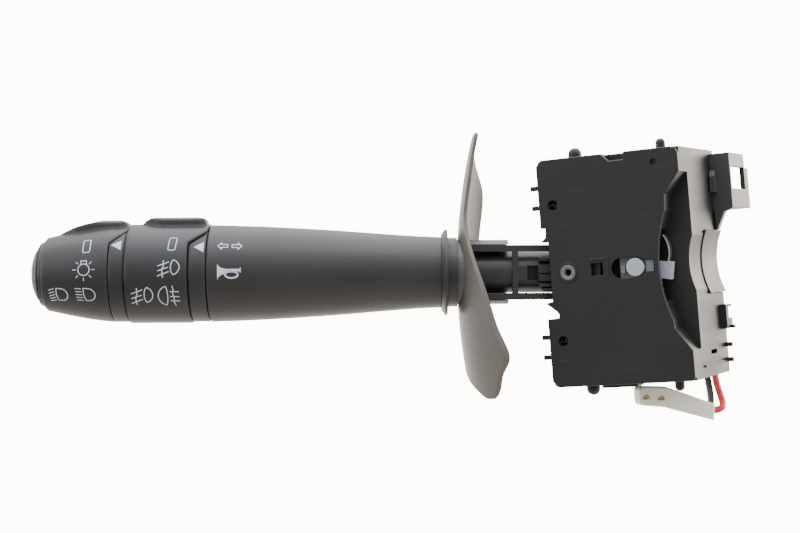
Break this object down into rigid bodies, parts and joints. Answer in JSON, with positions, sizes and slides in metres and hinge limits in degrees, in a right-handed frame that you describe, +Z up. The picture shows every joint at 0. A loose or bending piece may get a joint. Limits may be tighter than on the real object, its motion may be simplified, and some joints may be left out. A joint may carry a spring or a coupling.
{
  "type": "combination stalk switch",
  "caption": "Steering column stalk switch: box with side socket and cowl shield, tapering stalk with turning fog ring, turning light knob and horn button at the tip.",
  "frame": {"origin": "where the stalk's axis crosses the swing axis of the indicator, inside the switch box", "axes": "+X towards the steering column, -Y towards the driver, +Z up; the box is square to them, the stalk leaves along -X, raked to the driver and tilted up"},
  "size_m": [0.1753, 0.0961, 0.0802],
  "materials": {
    "housing_black": "fine moulded grain, satin on its flat faces",
    "stalk_black": "smooth satin",
    "shield_black": "smooth satin",
    "knob_black": "smooth satin with white printed signs",
    "grey_plastic": "plain moulded grey",
    "natural_nylon": "bluish white, slightly waxy",
    "plug_ivory": "ivory, slightly waxy",
    "board_green": "smooth lacquer",
    "contact_brass": "plain stamped",
    "steel": "bright drawn",
    "lead_black": "soft smooth sleeve",
    "lead_red": "soft smooth sleeve"
  },
  "bodies": {
    "housing": {"front_cover": "housing_black", "rear_housing": "housing_black", "column_guard": "housing_black", "connector_shroud": "housing_black", "connector_terminals": "contact_brass", "cable_clip": "housing_black", "contact_board": "board_green", "board_stops": "housing_black", "contact_tracks": "contact_brass", "detent_cam": "natural_nylon", "lead_grommet": "housing_black", "lead_black": "lead_black", "lead_red": "lead_red", "lead_plug": "plug_ivory", "plug_terminals": "contact_brass"},
    "indicator_carrier": {"indicator_carrier": "stalk_black", "pivot_bush": "grey_plastic", "pull_pin": "steel", "detent_plunger": "natural_nylon", "detent_spring": "steel", "indicator_wiper": "contact_brass"},
    "lever": {"lever_beam": "stalk_black", "beam_wiper": "contact_brass", "neck_tube": "stalk_black", "stalk_collar": "stalk_black", "stalk_sleeve": "stalk_black", "cowl_shield": "shield_black", "head_core": "stalk_black", "fog_band": "knob_black", "light_band": "knob_black", "fog_detent_ball": "steel", "fog_detent_spring": "steel", "light_detent_ball": "steel", "light_detent_spring": "steel", "fog_contacts": "board_green", "light_contacts": "board_green", "rod_guide": "natural_nylon"},
    "light_knob": {"light_knob": "knob_black", "light_rod": "natural_nylon", "light_wiper": "contact_brass", "horn_contact": "contact_brass"},
    "fog_ring": {"fog_ring": "knob_black", "fog_wiper": "contact_brass"},
    "horn_button": {"horn_cap": "knob_black", "horn_spring": "steel"},
    "finger_slider": {"finger_slider": "grey_plastic"},
    "cancel_finger": {"cancel_finger": "natural_nylon", "finger_leaf": "steel"}
  },
  "joints": [
    {"name": "indicator_swing", "type": "hinge", "parent": "housing", "child": "indicator_carrier", "pos_m": [0, 0, 0], "axis": [0, 1, 0], "range_deg": [-7, 7]},
    {"name": "beam_pull", "type": "hinge", "parent": "indicator_carrier", "child": "lever", "pos_m": [0, 0, 0], "axis": [0.0799, 0, 0.9968], "range_deg": [0, 6], "stiffness_Nm_per_rad": 0.3, "springref_deg": -2.86},
    {"name": "light_knob_turn", "type": "hinge", "parent": "lever", "child": "light_knob", "pos_m": [0, 0, 0], "axis": [-0.9136, -0.4, 0.0732], "range_deg": [0, 58]},
    {"name": "fog_ring_turn", "type": "hinge", "parent": "lever", "child": "fog_ring", "pos_m": [0, 0, 0], "axis": [-0.9136, -0.4, 0.0732], "range_deg": [0, 62]},
    {"name": "horn_press", "type": "slide", "parent": "light_knob", "child": "horn_button", "axis": [0.9136, 0.4, -0.0732], "range_m": [0, 0.0018], "stiffness_N_per_m": 400, "springref_m": -0.002},
    {"name": "finger_slide", "type": "slide", "parent": "housing", "child": "finger_slider", "axis": [1, 0, 0], "range_m": [-0.002, 0], "stiffness_N_per_m": 200, "springref_m": 0.004},
    {"name": "finger_tilt", "type": "hinge", "parent": "finger_slider", "child": "cancel_finger", "pos_m": [0.0177, -0.0085, 0], "axis": [0, 1, 0], "range_deg": [-8, 8], "stiffness_Nm_per_rad": 0.02}
  ]
}
